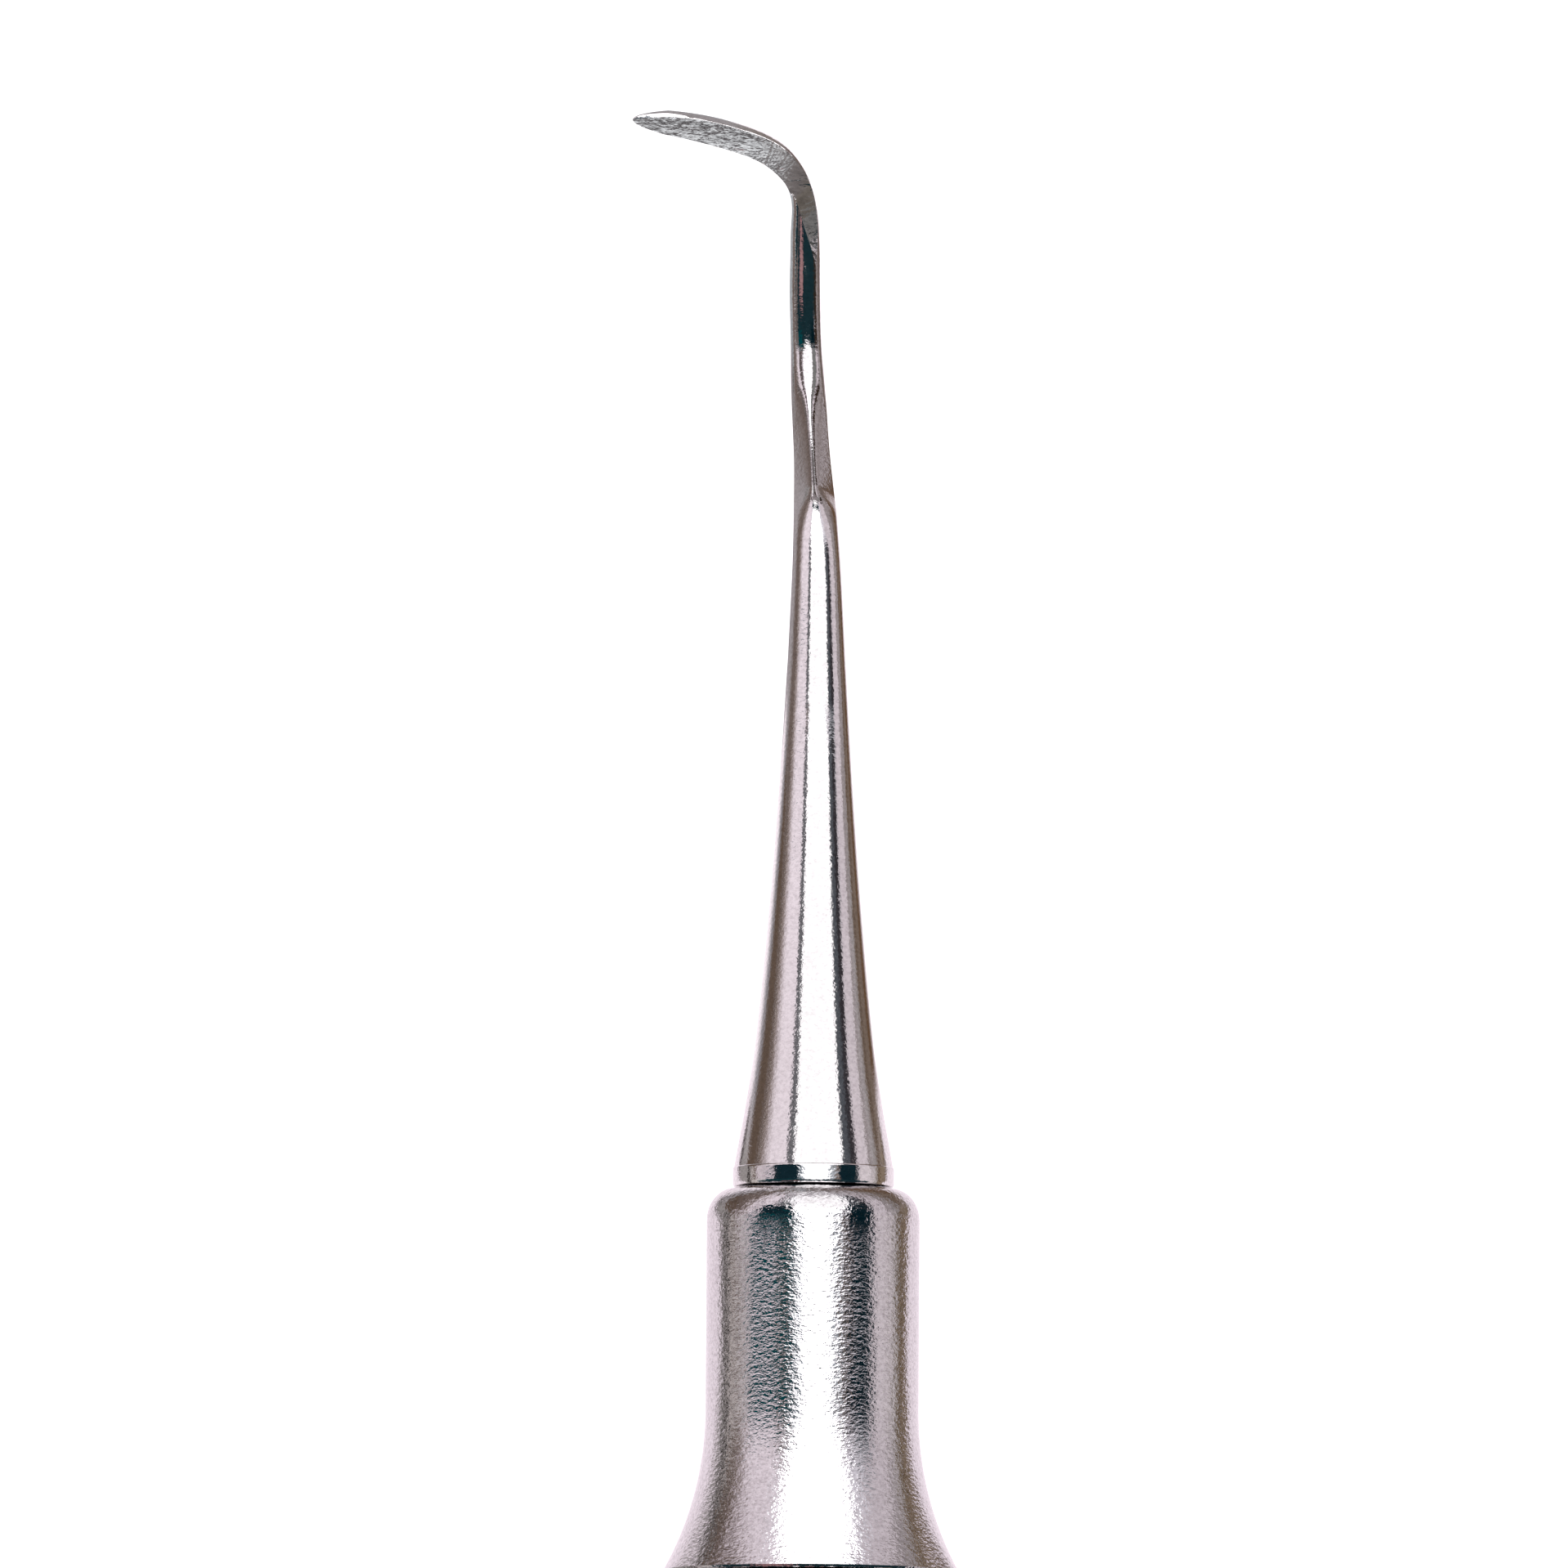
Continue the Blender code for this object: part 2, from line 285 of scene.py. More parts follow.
def bent_sections():
    """From the toe to the straight stretch: distances, centres, the ways across and up, half widths and depths."""
    path = np.array(BENT_PATH)
    steps = np.linalg.norm(np.diff(path, axis=0), axis=1)
    rows = np.column_stack([np.concatenate([[0], np.cumsum(steps)]), path])
    length = rows[-1, 0]
    toe = TOE_SPACING * TOE_GROWTH ** np.arange(TOE_STEPS)
    blade = np.arange(toe[-1] + FACE_SPACING, FACE_END + FACE_MARGIN, FACE_SPACING)
    neck = np.linspace(blade[-1], length, int((length - blade[-1]) / NECK_SPACING) + 1)[1:]
    distance = np.concatenate([toe, blade, neck])
    ahead = smooth_values(rows, np.maximum(distance - NUDGE, 0))
    behind = smooth_values(rows, np.minimum(distance + NUDGE, length))
    along = unit(ahead - behind)
    across = unit(np.column_stack([along[:, 1], -along[:, 0], np.zeros(len(along))]))
    up = unit(np.cross(across, along))
    sizes = smooth_values(BENT_SIZES, distance)
    sizes *= np.sqrt(np.minimum(distance / TOE_LENGTH, 1))[:, None]
    return distance, smooth_values(rows, distance), across, up, sizes


def turned_sections(length):
    """The same for the rest, down to the end of the tang: round sections square to the handle's axis."""
    heights = np.arange(STRAIGHT_HEIGHT, COLLAR_HEIGHT, -SHANK_SPACING)[1:]
    shank = np.column_stack([heights, smooth_values(SHANK_RADII, heights)])
    foot = SHANK_RADII[0][1]
    collar_and_tang = [
        (COLLAR_HEIGHT + CRISP, foot - STEP_ROUND),
        (COLLAR_HEIGHT + STEP_HALF, foot),
        (COLLAR_HEIGHT, COLLAR_RADIUS - STEP_ROUND),
        (COLLAR_HEIGHT - STEP_HALF, COLLAR_RADIUS),
        (COLLAR_HEIGHT - CRISP, COLLAR_RADIUS),
        (COLLAR_EDGE + CRISP, COLLAR_RADIUS),
        (COLLAR_EDGE, COLLAR_RADIUS),
        (COLLAR_EDGE * 0.3, COLLAR_RADIUS - COLLAR_EDGE * 0.3),
        (0.0, COLLAR_RADIUS - COLLAR_EDGE),
        (0.0, TANG_RADIUS + TANG_FILLET),
        (-TANG_FILLET, TANG_RADIUS),
        (-TANG_LENGTH / 3, TANG_RADIUS),
        (-TANG_LENGTH * 2 / 3, TANG_RADIUS),
        (CHAMFER - TANG_LENGTH, TANG_RADIUS),
        (-TANG_LENGTH, TANG_RADIUS - CHAMFER),
    ]
    heights, radii = np.vstack([shank, collar_and_tang]).T
    count = len(heights)
    return (
        length + STRAIGHT_HEIGHT - heights,
        np.column_stack([np.zeros(count), heights, np.zeros(count)]),
        np.tile([1.0, 0, 0], (count, 1)),
        np.tile([0, 0, 1.0], (count, 1)),
        np.column_stack([radii, radii]),
    )


def working_end_rings():
    """Every section from the toe to the end of the tang as one array, and their distances from the toe."""
    bent = bent_sections()
    turned = turned_sections(bent[0][-1])
    distance, centre, across, up, sizes = (np.concatenate(pair) for pair in zip(bent, turned))
    face = smooth_values(GROUND_FACE, distance)
    bevel = smooth_values(BACK_BEVEL, distance)[:, 0]
    ridge = smooth_values(RIDGE, distance)
    sizes[:, 1] *= ridge[:, 2]
    rings = []
    for i in range(len(distance)):
        flat = section(distance[i], sizes[i], face[i], bevel[i])
        if ridge[i, 0] > 0:
            flat[:, 1] = ridged(flat / sizes[i], *ridge[i, :2]) * sizes[i, 1]
        rings.append(centre[i] + flat[:, :1] * across[i] + flat[:, 1:] * up[i])
    return np.array(rings), distance


def signed_volume(points, triangles):
    a, b, c = (points[triangles[:, k]] for k in range(3))
    return float(np.sum(a * np.cross(b, c)))


def solid(name, points, faces, materials, indices=None, sharp=30.0):
    """A named object from millimetre points, with its faces turned outwards and its sharp edges kept."""
    mesh = bpy.data.meshes.new(name)
    mesh.from_pydata((points * MM).tolist(), [], faces)
    for made_of in materials:
        mesh.materials.append(made_of)
    if indices is not None:
        mesh.polygons.foreach_set("material_index", indices)
    triangles = np.array([face[:3] for face in faces] + [(f[0], f[2], f[3]) for f in faces if len(f) == 4])
    if signed_volume(points, triangles) < 0:
        mesh.flip_normals()
    mesh.shade_smooth()
    mesh.set_sharp_from_angle(angle=math.radians(sharp))
    mesh.update()
    made = bpy.data.objects.new(name, mesh)
    bpy.context.scene.collection.objects.link(made)
    return made


def quads_between(a, b, sides):
    """The quads from one ring to the next, by the numbers of their first points."""
    return [(a + k, a + (k + 1) % sides, b + (k + 1) % sides, b + k) for k in range(sides)]


def skin(rings, closed):
    """Points and quads over rings of equal length; closed joins the last ring to the first."""
    count, sides = rings.shape[:2]
    faces = []
    for i in range(count if closed else count - 1):
        faces += quads_between(i * sides, (i + 1) % count * sides, sides)
    return rings.reshape(-1, 3), faces


def placed(points, rear):
    """Points made about the seam, in the frame's own place."""
    moved = points + np.array([0, SEAM, 0])
    if rear:
        moved = -moved
    return moved + np.array([0, 0, AXIS])


def make_working_end(name, rear, materials):
    """A working end, whose ground face is of the second material."""
    rings, distance = working_end_rings()
    points, faces = skin(rings, closed=False)
    sides = rings.shape[1]
    ground_faces = np.zeros((len(rings) - 1, sides), dtype=np.int32)
    ground_faces[distance[1:] < FACE_END, ROUND_STEPS:sides - 1] = 1
    indices = list(ground_faces.ravel()) + [0] * (2 * sides)
    ends = np.vstack([BENT_PATH[0], rings[-1].mean(axis=0)])
    toe, last = len(points), (len(rings) - 1) * sides
    faces += [(toe, (k + 1) % sides, k) for k in range(sides)]
    faces += [(toe + 1, last + k, last + (k + 1) % sides) for k in range(sides)]
    return solid(name, placed(np.vstack([points, ends]), rear), faces, materials, indices)


def turned_rings(profile, sides):
    """Rings about the handle's axis from (height, radius) points."""
    angles = np.linspace(0, 2 * math.pi, sides, endpoint=False)
    profile = np.array(profile)
    rings = np.zeros((len(profile), sides, 3))
    rings[:, :, 0] = profile[:, 1:] * np.sin(angles)
    rings[:, :, 1] = profile[:, :1]
    rings[:, :, 2] = profile[:, 1:] * np.cos(angles)
    return rings


def ferrule_profile():
    """(height, radius) points round the ferrule's wall: face, shoulder, nose, flare, spigot and bore."""
    profile = [(-GAP, BORE_RADIUS + BORE_EDGE), (-GAP, COLLAR_RADIUS)]
    for k in range(1, SHOULDER_STEPS + 1):
        angle = math.radians(90 / SHOULDER_STEPS * k)
        radius = COLLAR_RADIUS + (NOSE_RADIUS - COLLAR_RADIUS) * math.sin(angle)
        profile.append((-GAP - SHOULDER_HEIGHT * (1 - math.cos(angle)), radius))
    profile += [(height, NOSE_RADIUS) for height in np.linspace(*NOSE_ROWS)]
    end_angle = math.acos(1 - (HANDLE_RADIUS - EDGE / 2 - NOSE_RADIUS) / FLARE_RADIUS)
    for angle in np.linspace(0, end_angle, FLARE_STEPS):
        radius = NOSE_RADIUS + FLARE_RADIUS * (1 - math.cos(angle))
        profile.append((-FLARE_START - FLARE_RADIUS * math.sin(angle), radius))
    spigot = HANDLE_RADIUS - WALL - GAP
    bottom = -FERRULE_HEIGHT - SPIGOT_LENGTH
    return profile + [
        (-FERRULE_HEIGHT + EDGE / 4, HANDLE_RADIUS - EDGE * 0.7),
        (-FERRULE_HEIGHT, HANDLE_RADIUS - EDGE),
        (-FERRULE_HEIGHT, spigot + SPIGOT_FILLET),
        (-FERRULE_HEIGHT - SPIGOT_FILLET, spigot),
        (bottom + CHAMFER, spigot),
        (bottom, spigot - CHAMFER),
        (bottom, BORE_RADIUS + BORE_EDGE),
        (bottom + BORE_EDGE, BORE_RADIUS),
        (-GAP - BORE_EDGE, BORE_RADIUS),
    ]


def make_ferrule(name, rear, materials):
    points, faces = skin(turned_rings(ferrule_profile(), TURNED_SIDES), closed=True)
    return solid(name, placed(points, rear), faces, materials)


def from_groove(value):
    """Steps of the knurl's lattice to the nearest groove of one family."""
    value = value % KNURL_STEPS
    return np.minimum(value, KNURL_STEPS - value)


def knurl_height(column, row):
    """Share of the knurl's depth at lattice points: two families of helical grooves, the lattice's diagonals."""
    falling, rising = from_groove(column + row), from_groove(column - row)
    return np.minimum(np.take(KNURL_SLOPE, falling), np.take(KNURL_SLOPE, rising))


def handle_rings(column):
    """(height, radius at each column, knurl row or None) round the tube's wall: outside, and then the bore."""

    def plain(height, radius):
        return height, np.full(len(column), radius), None

    end = HANDLE_END - GAP
    grip_end = MIDDLE_BAND_HALF + GROOVE_WIDTH
    groove = HANDLE_RADIUS - KNURL_DEPTH
    total = KNURLS_ALONG * KNURL_STEPS
    grip = []
    for row in range(total + 1):
        height = end - EDGE - (end - EDGE - grip_end) * row / total
        grip.append((height, groove + KNURL_DEPTH * knurl_height(column, row), row))
    half = [
        (end, np.minimum(grip[0][1], HANDLE_RADIUS - EDGE), None),
        *grip,
        (grip_end - GRIP_STEP, np.minimum(grip[-1][1], groove), None),
        plain(MIDDLE_BAND_HALF + GROOVE_SLOPE, groove),
        plain(MIDDLE_BAND_HALF + BAND_EDGE, HANDLE_RADIUS - BAND_EDGE),
        plain(MIDDLE_BAND_HALF, HANDLE_RADIUS),
        plain(MIDDLE_BAND_HALF / 2, HANDLE_RADIUS),
    ]
    bore = HANDLE_RADIUS - WALL
    return [
        *half,
        *((-height, radius, row) for height, radius, row in reversed(half)),
        plain(-end, bore + TUBE_EDGE),
        plain(TUBE_EDGE - end, bore),
        plain(0.0, bore),
        plain(end - TUBE_EDGE, bore),
        plain(end, bore + TUBE_EDGE),
    ]


def make_handle(name, materials):
    """One tube: end face, knurled grip, plain middle band between two grooves, the other grip, and the bore."""
    sides = KNURLS_ROUND * KNURL_STEPS
    column = np.arange(sides)
    rings = handle_rings(column)
    angles = 2 * math.pi * (column + 0.5) / sides
    points = np.array([
        np.column_stack([radius * np.sin(angles), np.full(sides, height), radius * np.cos(angles)])
        for height, radius, row in rings
    ])
    faces = []
    for i in range(len(rings)):
        following = (i + 1) % len(rings)
        row, row_after = rings[i][2], rings[following][2]
        quads = quads_between(i * sides, following * sides, sides)
        if row is None or row_after is None:
            faces += quads
            continue
        # Each knurled quad is split along the nearer groove.
        middle = (row + row_after) / 2
        falling = from_groove(column + 0.5 + middle) < from_groove(column + 0.5 - middle)
        for (p, q, r, s), backward in zip(quads, falling == (row_after > row)):
            faces += [(p, q, s), (q, r, s)] if backward else [(p, q, r), (p, r, s)]
    return solid(name, points.reshape(-1, 3) + np.array([0, 0, AXIS]), faces, materials, sharp=28.0)


# Materials


class Nodes:
    """Short calls for building a material's node tree."""

    def __init__(self, name):
        self.material = bpy.data.materials.new(name)
        self.material.use_nodes = True
        self.tree = self.material.node_tree
        self.shader = self.tree.nodes["Principled BSDF"]

    def add(self, kind, values=None, **settings):
        node = self.tree.nodes.new(kind)
        for key, value in settings.items():
            setattr(node, key, value)
        for key, value in (values or {}).items():
            node.inputs[key].default_value = value
        return node

    def link(self, output, socket):
        self.tree.links.new(output, socket)

    def noise(self, scale, detail=2.0, roughness=0.5):
        """Noise over the object's own coordinates; scale is cells per millimetre along X, Y and Z."""
        place = self.add("ShaderNodeTexCoord")
        fit = self.add("ShaderNodeMapping", {"Scale": tuple(value / MM for value in scale)})
        self.link(place.outputs["Object"], fit.inputs["Vector"])
        made = self.add("ShaderNodeTexNoise", {"Scale": 1.0, "Detail": detail, "Roughness": roughness})
        self.link(fit.outputs["Vector"], made.inputs["Vector"])
        return made.outputs["Fac"]

    def spread(self, value, low, high, lowest=0.3, highest=0.7):
        """A value spread over a range; noise runs mostly from 0.3 to 0.7."""
        limits = {"From Min": lowest, "From Max": highest, "To Min": low, "To Max": high}
        made = self.add("ShaderNodeMapRange", limits)
        self.link(value, made.inputs["Value"])
        return made.outputs["Result"]

    def blend(self, share, first, second):
        made = self.add("ShaderNodeMix", data_type="RGBA")
        made.inputs["A"].default_value = (*first, 1)
        made.inputs["B"].default_value = (*second, 1)
        self.link(share, made.inputs["Factor"])
        return made.outputs["Result"]

    def bump(self, height, micrometres, normal=None):
        made = self.add("ShaderNodeBump", {"Strength": 1.0, "Distance": micrometres * 0.001 * MM})
        self.link(height, made.inputs["Height"])
        if normal is not None:
            self.link(normal, made.inputs["Normal"])
        return made.outputs["Normal"]


BRIGHT = (0.80, 0.785, 0.78)
DULL = (0.74, 0.725, 0.72)
PIT = (0.22, 0.20, 0.20)
# Painted shade for the bottoms of the knurl's grooves.
GROOVE_SHADE = (0.42, 0.40, 0.39)


def steel(name, tones, roughness, layers, grain, blotches=(0.5, 0.25, 0.5)):
    """Bare steel: tone and roughness drift over blotches, and layers of (cells per mm, micrometres) roughen it.

    tones are the bright and the dull one; grain is how far fine specks go towards the dark tone of pits.
    """
    made = Nodes(name)
    made.shader.inputs["Metallic"].default_value = 1.0
    drift = made.noise(blotches, 4.0, 0.6)
    tone = made.blend(made.spread(drift, 0, 1), *tones)
    specks = made.blend(made.spread(made.noise((7, 9, 7), 2.0, 0.7), 0, grain, 0.4, 0.75), tones[0], PIT)
    made.link(tone, specks.node.inputs["A"])
    made.link(specks, made.shader.inputs["Base Color"])
    patches = made.noise(tuple(value * 3 for value in blotches), 3.0)
    made.link(made.spread(patches, *roughness), made.shader.inputs["Roughness"])
    normal = None
    for scale, micrometres in layers:
        normal = made.bump(made.noise(scale, 2.0, 0.6), micrometres, normal)
    made.link(normal, made.shader.inputs["Normal"])
    return made


def knurled_steel():
    """Satin steel with painted shade in its knurl: darker towards the bottoms of the grooves, at the steel's own
    tone on the crests.
    """
    unshaded_depth = 0.02
    made = steel("knurled_steel", (BRIGHT, DULL), (0.16, 0.26), [((9, 12, 9), 1.6), ((2, 2, 2), 1.0)], 0.2)
    place = made.add("ShaderNodeTexCoord")
    centre = made.add("ShaderNodeVectorMath", operation="SUBTRACT")
    centre.inputs[1].default_value = (0, 0, AXIS * MM)
    flatten = made.add("ShaderNodeVectorMath", operation="MULTIPLY")
    flatten.inputs[1].default_value = (1, 0, 1)
    reach = made.add("ShaderNodeVectorMath", operation="LENGTH")
    made.link(place.outputs["Object"], centre.inputs[0])
    made.link(centre.outputs[0], flatten.inputs[0])
    made.link(flatten.outputs[0], reach.inputs[0])
    low, high = (HANDLE_RADIUS - KNURL_DEPTH) * MM, (HANDLE_RADIUS - unshaded_depth) * MM
    # Painted shade: the tone darkens from the crests down to the bottoms of the knurl's grooves.
    unshaded = made.spread(reach.outputs["Value"], 0, 1, low, high)
    base = made.shader.inputs["Base Color"]
    crests = base.links[0].from_socket
    tone = made.blend(unshaded, GROOVE_SHADE, BRIGHT)
    made.link(crests, tone.node.inputs["B"])
    made.link(tone, base)
    return made


def bond_material():
    made = Nodes("bond")
    drift = made.noise((2, 2, 2), 4.0)
    tone = made.blend(made.spread(drift, 0, 1), (0.12, 0.12, 0.125), (0.19, 0.19, 0.195))
    made.link(tone, made.shader.inputs["Base Color"])
    made.link(made.spread(drift, 0.5, 0.7), made.shader.inputs["Roughness"])
    made.link(made.bump(made.noise((9, 9, 9)), 6.0), made.shader.inputs["Normal"])
    return made


polished = steel(
    "polished_steel",
    tones=(BRIGHT, DULL),
    roughness=(0.05, 0.09),
    layers=[((8, 11, 8), 7.0), ((1.2, 0.4, 1.2), 1.8)],
    grain=0.3,
)
ground = steel(
    "ground_steel",
    tones=(BRIGHT, (0.46, 0.45, 0.45)),
    roughness=(0.05, 0.09),
    layers=[((5, 17, 17), 4.0), ((2.2, 7, 7), 16.0)],
    grain=0.3,
    blotches=(2.0, 6, 6),
)
satin = steel(
    "satin_steel",
    tones=((0.71, 0.695, 0.70), (0.66, 0.645, 0.65)),
    roughness=(0.05, 0.08),
    layers=[((6, 10, 6), 19.0), ((2.2, 5, 2.2), 9.0)],
    grain=0.5,
)
knurled = knurled_steel()
bond = bond_material()

# The scaler's pieces

for end, rear in (("front", False), ("rear", True)):
    working_end = make_working_end(f"{end}_working_end_steel", rear, [polished.material, ground.material])
    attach(working_end, "root")
    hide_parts(f"{end}_working_end")
    ferrule = make_ferrule(f"{end}_ferrule_steel", rear, [satin.material])
    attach(ferrule, "root")
    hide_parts(f"{end}_ferrule")
    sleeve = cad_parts[f"{end}_bond_sleeve"]
    for place in sleeve.material_slots:
        place.material = bond.material
handle = make_handle("handle_grip", [knurled.material])
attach(handle, "root")
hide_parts("handle_tube")


# Studio: a pale floor, and light from a dome and a few cards that only reflections see


def linear(red, green, blue):
    """A display colour from 0 to 255 as the light that bright steel needs to see to show it."""
    shown = np.array([red, green, blue]) / 255
    return ((shown + 0.055) / 1.055) ** 2.4 / np.array(BRIGHT)


WHITE = np.array([3.0, 2.94, 3.02])
SOFT_WHITE = WHITE / 2
PINK = linear(235, 222, 229)
ROSE = linear(206, 194, 200)
TAUPE = linear(122, 106, 99)
TEAL = linear(24, 45, 51)
BLACK = linear(50, 46, 50)


def ramp(value, low, high):
    """0 below low and 1 above high, smoothly."""
    t = np.clip((value - low) / (high - low), 0, 1)
    return t * t * (3 - 2 * t)


def fall(value, low, high):
    """1 below low and 0 above high, smoothly."""
    return 1 - ramp(value, low, high)


def span(value, low, high, soft=4.0):
    """1 between low and high, fading over soft at each."""
    return ramp(value, low - soft / 2, low + soft / 2) * fall(value, high - soft / 2, high + soft / 2)


def held(value, *rows):
    """The straight-line curve through rows of (position, value)."""
    places, values = zip(*rows)
    return np.interp(value, places, values)


def painted(light, *layers):
    """A light painted over with layers of (share, colour), in turn."""
    for share, colour in layers:
        light = light * (1 - share[..., None]) + share[..., None] * colour
    return light


def sky(az, el):
    """Light of the dome; az turns about the handle's axis from straight up towards +X, el rises towards +Y."""
    level = span(el, -34, 5.5, 3)
    box_left = held(el, (3, -12), (8, -18), (15, -24), (30, -32), (42, -36))
    box_right = held(el, (3, 20), (8, 26), (15, 33), (30, 41), (42, 45))
    box_height = span(el, -11, 66, 4)
    box_edge = painted(linear(160, 165, 172), (ramp(el, 6, 12), linear(220, 214, 222)))
    low = fall(el, -13, -9)
    return painted(
        TAUPE,
        # Far light: what the flare, the cone and the shank see.
        (ramp(az, -91, -67) * fall(az, -38, -34), PINK),
        (ramp(az, 38, 42), ROSE),
        (span(az, 38, 58, 8) * ramp(el, 8, 16), linear(226, 220, 228)),
        (span(az, 50, 66, 6) * fall(el, 16, 26), linear(150, 150, 156)),
        # Level light: what the nose and the collar see.
        (level * span(az, -100, -74), linear(194, 186, 187)),
        (level * span(az, -74, -10, 8), linear(0, 64, 70)),
        (span(el, -34, 8.5, 5) * span(az, 38, 69, 4), linear(0, 26, 34)),
        (level * span(az, 68, 100, 4), linear(212, 201, 205)),
        # The white softbox overhead.
        (ramp(el, 64, 68), linear(186, 179, 183)),
        (span(az, box_left - 7, box_right + 11, 6) * box_height, box_edge),
        (span(az, box_left, box_right, 4) * box_height, WHITE),
        # Below the box, towards the handle.
        (low, TEAL),
        (low * fall(az, -88, -82), linear(84, 98, 104)),
        (low * span(az, -49, -19, 3) * fall(el, -27, -24), linear(156, 118, 120)),
        (fall(el, -72, -62), linear(190, 190, 197)),
    )


def floor_light(x, y):
    """Light of the card that stands in for the floor in reflections, by place in millimetres from the seam."""
    left = -held(
        y, (-12, 7.2), (-10, 7.8), (-8, 9.2), (-7, 10.2), (-6, 11.8), (-5, 13.6), (-0.5, 13.6), (1, 7.4), (3, 6.4)
    )
    right = held(y, (-10, 7.6), (-8, 9.4), (-7, 10.6), (-6, 12.0), (-5, 12.8), (-0.5, 12.0), (1, 9.2), (3, 7.6))
    cone = ramp(y, 3.2, 5)
    neck = ramp(y, 15, 17)
    fork = ramp(y, 24.6, 27.4)
    return painted(
        linear(238, 224, 232),
        # Beside the nose, the flare and the handle: pale near the tool, then a thin dark line, taupe and grey.
        (fall(x - left, -2, 0), linear(152, 145, 144)),
        (span(x - left, -1.4, 0.1, 0.8) * ramp(y, -5, -2), linear(64, 56, 54)),
        (span(x, -27, -19.5, 3), linear(24, 14, 8)),
        (fall(x, -32, -26), linear(184, 174, 172)),
        (ramp(x - right, 0, 1), linear(134, 117, 102)),
        (span(x - right, 0, 1.4, 0.8), linear(96, 80, 68)),
        (span(x, 18.5, 22.5, 1.5), linear(84, 64, 42)),
        (ramp(x, 22, 30), linear(152, 145, 143)),
        (ramp(x, 30, 50), linear(204, 193, 195)),
        # Beside the cone.
        (cone, linear(250, 238, 244)),
        (cone * fall(x, -8.5, -4.5), linear(146, 140, 144)),
        (cone * fall(x, -13, -8.5), linear(96, 80, 70)),
        (cone * fall(x, -200, -60), linear(116, 104, 92)),
        (cone * ramp(x, 2, 5.5), linear(96, 72, 54)),
        (cone * ramp(x, 6.5, 8), linear(116, 100, 90)),
        (cone * span(x, 12.5, 16, 1.5), linear(98, 82, 70)),
        (cone * ramp(x, 16, 22), linear(150, 142, 142)),
        (cone * ramp(x, 22, 60), linear(188, 178, 182)),
        # Beside the neck.
        (neck * fall(x, -4, -3), linear(158, 150, 152)),
        (neck * fall(x, -10.5, -8), linear(138, 128, 127)),
        (neck * fall(x, -15, -11), linear(110, 96, 91)),
        (neck * ramp(x, 15, 17), linear(150, 140, 141)),
        (span(y, 15, 34, 4) * span(x, -3.5, -1.3, 0.6) * 0.8, linear(70, 66, 70)),
        # Beside the fork and the bend.
        (fork * span(x, -14, -8.6, 1), linear(124, 112, 109)),
        (fork * span(x, -8.6, -7.3, 0.5), linear(150, 143, 143)),
        (fork * span(x, -7.3, -4.6, 0.5), linear(94, 92, 88)),
        (ramp(y, 26.8, 27.6) * span(x, -7.3, -2, 0.5), linear(164, 167, 171)),
        (fork * span(x, 2.0, 7.6, 1), linear(108, 95, 90)),
        (fork * span(x, 7.6, 15.5, 2), linear(124, 112, 109)),
        (span(x, 7.4, 9.2, 0.8) * span(y, 26.4, 27.9, 0.8), linear(176, 166, 170)),
        (ramp(y, 28.2, 29.2) * span(x, 9.6, 15.5, 2), linear(162, 152, 154)),
        (span(y, 31, 36, 2) * span(x, 15.5, 28, 1.5), linear(56, 42, 34)),
    )


def fork_light(x, y):
    """Light of a small card over the neck, where the fork's ridge shows a dark line and no softbox."""
    return painted(
        linear(122, 116, 118),
        (ramp(x, -0.3, 0.2), linear(58, 46, 38)),
        (fall(y, 23.9, 24.3), linear(140, 131, 133)),
    )


def hook_light(x, y):
    """Light of the card over the hook: pale and dark bars over the blade, browner over the bend."""
    period, slant = 1.3, 0.12
    bars = 0.5 + 0.5 * np.sin(2 * math.pi * (y + slant * x) / period)
    return painted(
        linear(84, 78, 80),
        (bars, linear(250, 252, 255)),
        (ramp(x, -2.6, -1.1), linear(126, 119, 118)),
        (ramp(x, -0.9, 0.2), linear(112, 105, 99)),
    )


def back_light(x, z):
    """Light of the card behind the blade: white for its toe, grey for its back, brown for the back's edge."""
    return painted(
        linear(152, 146, 148),
        (ramp(x, -2.6, -1.0), linear(132, 123, 120)),
        (ramp(x, -4.6, -3.6) * ramp(z, 1.9, 2.6), linear(92, 72, 62)),
        (fall(x, -4.9, -4.3) * ramp(z, 1.5, 2.1), SOFT_WHITE),
    )


def show_only_in_reflections(card):
    card.visible_camera = False
    card.visible_diffuse = False
    card.visible_shadow = False
    card.visible_transmission = False


def lit_card(name, places, colours):
    """A stage card over a grid of millimetre places, each glowing in its own colour or all in one."""
    rows, columns = places.shape[:2]
    faces = [
        (i * columns + k, i * columns + k + 1, (i + 1) * columns + k + 1, (i + 1) * columns + k)
        for i in range(rows - 1)
        for k in range(columns - 1)
    ]
    mesh = bpy.data.meshes.new(name)
    mesh.from_pydata((places.reshape(-1, 3) * MM).tolist(), [], faces)
    layer = mesh.color_attributes.new("glow", "FLOAT_COLOR", "POINT")
    values = np.ones((rows * columns, 4))
    values[:, :3] = np.broadcast_to(colours, places.shape).reshape(-1, 3)
    layer.data.foreach_set("color", values.ravel())
    made = Nodes(name)
    made.tree.nodes.remove(made.shader)
    glow = made.add("ShaderNodeEmission")
    colour = made.add("ShaderNodeVertexColor", layer_name="glow")
    made.link(colour.outputs["Color"], glow.inputs["Color"])
    made.link(glow.outputs["Emission"], made.tree.nodes["Material Output"].inputs["Surface"])
    made.material.cycles.emission_sampling = "NONE"
    mesh.materials.append(made.material)
    card = bpy.data.objects.new(name, mesh)
    bpy.context.scene.collection.objects.link(card)
    show_only_in_reflections(card)


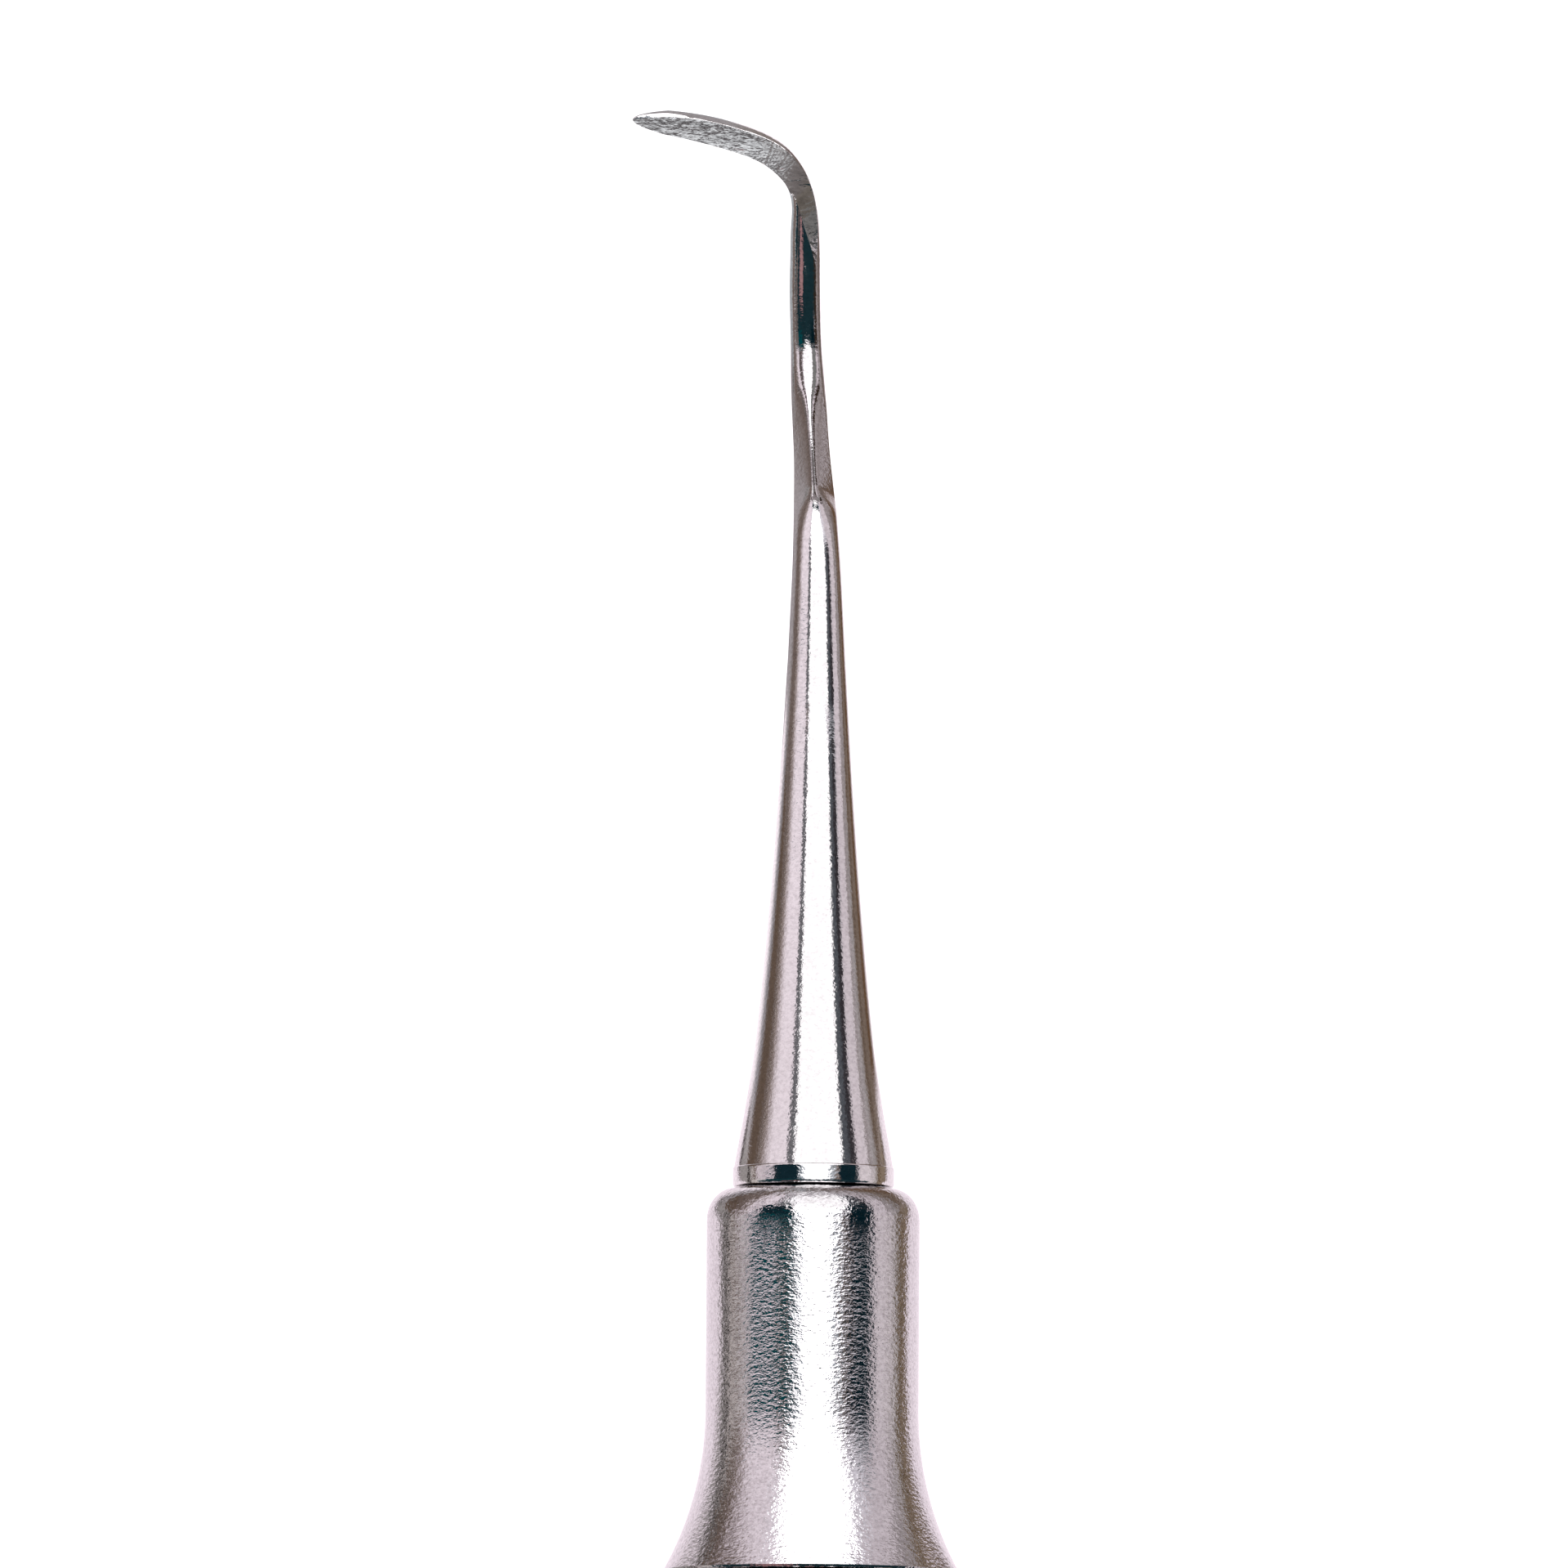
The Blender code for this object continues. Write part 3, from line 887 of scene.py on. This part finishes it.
def dome():
    """Half a sphere of light over the handle's axis, about the middle of the seam."""
    radius = 1500.0
    az, el = np.meshgrid(np.arange(-90.0, 91.0), np.arange(-89.0, 90.0))
    a, e = np.radians(az), np.radians(el)
    way = np.stack([np.sin(a) * np.cos(e), np.sin(e), np.cos(a) * np.cos(e)], axis=-1)
    lit_card("dome", np.array([0, SEAM, AXIS]) + radius * way, sky(az, el))


def near_strip(name, radius, az_range, heights, colour, rise=0.0):
    """A strip bent about the axis close to the tool, whose reflection runs along a cone or lies across the neck.

    Its top curves up by rise at both sides.
    """
    az, share = np.meshgrid(np.linspace(*az_range, 17), np.linspace(0, 1, 30))
    across = (2 * az - sum(az_range)) / (az_range[1] - az_range[0])
    along = heights[0] + share * (heights[1] - heights[0] + rise * across**2)
    a = np.radians(az)
    lit_card(name, np.stack([radius * np.sin(a), SEAM + along, AXIS + radius * np.cos(a)], axis=-1), colour)


def level_card(name, across, along, height, light):
    """A card lying at a height over the floor, lit by a function of the place on it."""
    x, y = np.meshgrid(across, along)
    lit_card(name, np.stack([x, SEAM + y, np.full(x.shape, height)], axis=-1), light(x, y))


def back_card():
    """A card standing behind the blade."""
    x, z = np.meshgrid(np.linspace(-9, 1.5, 43), np.linspace(-2, 4.5, 27))
    lit_card("back_card", np.stack([x, np.full(x.shape, SEAM + 36.2), AXIS + z], axis=-1), back_light(x, z))


def floor_card():
    """The card lies just over the floor, with finer cells near the tool."""
    reach = np.concatenate([np.arange(0, 30, 0.5), np.geomspace(30, 1500, 16)])
    grid = np.concatenate([-reach[:0:-1], reach])
    level_card("floor_card", grid, grid, 0.1, floor_light)


def make_floor():
    size = 6000.0
    mesh = bpy.data.meshes.new("floor")
    corners = [(-size, -size, 0), (size, -size, 0), (size, size, 0), (-size, size, 0)]
    mesh.from_pydata([Vector(corner) * MM for corner in corners], [], [(0, 1, 2, 3)])
    made = Nodes("pale_floor")
    grain = made.noise((0.02, 0.02, 0.02), 3.0)
    tone = made.blend(made.spread(grain, 0, 1), (0.82, 0.80, 0.81), (0.86, 0.84, 0.85))
    made.link(tone, made.shader.inputs["Base Color"])
    made.shader.inputs["Roughness"].default_value = 0.9
    made.shader.inputs["Specular IOR Level"].default_value = 0.0
    made.shader.inputs["Emission Color"].default_value = (1.0, 0.97, 0.98, 1)
    made.shader.inputs["Emission Strength"].default_value = 0.55
    made.material.cycles.emission_sampling = "NONE"
    mesh.materials.append(made.material)
    floor = bpy.data.objects.new("floor", mesh)
    bpy.context.scene.collection.objects.link(floor)


dome()
for name, radius, inward, heights in (("cone", 11.0, 0.0, (2.6, 16.6)), ("shank", 4.5, 1.0, (15.9, 22.2))):
    near_strip(f"{name}_white", radius, (-27 + 0.5 * inward, 40 - inward), heights, SOFT_WHITE)
    near_strip(f"{name}_dark_left", radius, (-37 + inward, -27 + 0.5 * inward), heights, linear(104, 102, 106))
    near_strip(f"{name}_dark_right", radius, (40 - inward, 51 - inward), heights, linear(80, 82, 88))
    near_strip(f"{name}_black_right", radius, (51 - inward, 61 - inward), heights, BLACK)
near_strip("shoulder_dark_left", 8.0, (-50, -17.5), (-0.6, 2.2), linear(18, 38, 46))
near_strip("shoulder_dark_right", 8.0, (31, 54), (-0.6, 2.2), linear(14, 34, 42))
near_strip("collar_pink_left", 20.0, (-86, -46), (0.7, 3.2), linear(204, 190, 197))
near_strip("neck_white", 6.0, (-36, 46), (27.0, 30.9), SOFT_WHITE)
near_strip("neck_teal", 5.9, (-40, 46), (25.6, 26.9), TEAL, rise=1.3)
near_strip("neck_left", 6.0, (-104, -75), (26.2, 27.25), linear(106, 97, 95))
near_strip("neck_side_left", 6.0, (-75, -50), (27.5, 29.4), linear(92, 82, 82))
near_strip("neck_black_right", 6.0, (80, 108), (26.6, 27.95), linear(50, 38, 30))
near_strip("neck_side_right", 6.0, (48, 85), (28.0, 30.6), linear(122, 120, 119))
level_card("fork_card", np.linspace(-1.3, 1.3, 27), np.linspace(22.9, 26.0, 32), AXIS + 1.0, fork_light)
level_card("hook_card", np.linspace(-9, 3, 49), np.linspace(30.2, 33.45, 53), AXIS + 1.8, hook_light)
back_card()
floor_card()
make_floor()

world = bpy.data.worlds.new("studio")
bpy.context.scene.world = world
world.use_nodes = True
world.node_tree.nodes["Background"].inputs["Color"].default_value = (1.0, 1.0, 1.0, 1)
world.node_tree.nodes["Background"].inputs["Strength"].default_value = 1.0

bpy.context.scene.view_settings.view_transform = "Standard"
bpy.context.scene.view_settings.look = "None"

camera_data = bpy.data.cameras.new("camera")
camera = bpy.data.objects.new("camera", camera_data)
bpy.context.scene.collection.objects.link(camera)
backward = (CAMERA_PLACE - CAMERA_AIM).normalized()
roll = math.radians(CAMERA_ROLL)
sideways = Vector((-math.sin(roll), math.cos(roll), 0)).cross(backward).normalized()
turned_to = Matrix((sideways, backward.cross(sideways), backward)).transposed()
camera.matrix_world = Matrix.LocRotScale(CAMERA_PLACE * MM, turned_to, None)
camera_data.sensor_width = SENSOR
camera_data.lens = SENSOR / FRAME_WIDTH * (CAMERA_PLACE - CAMERA_AIM).length
camera_data.clip_start = 0.05
camera_data.clip_end = 20.0
bpy.context.scene.camera = camera
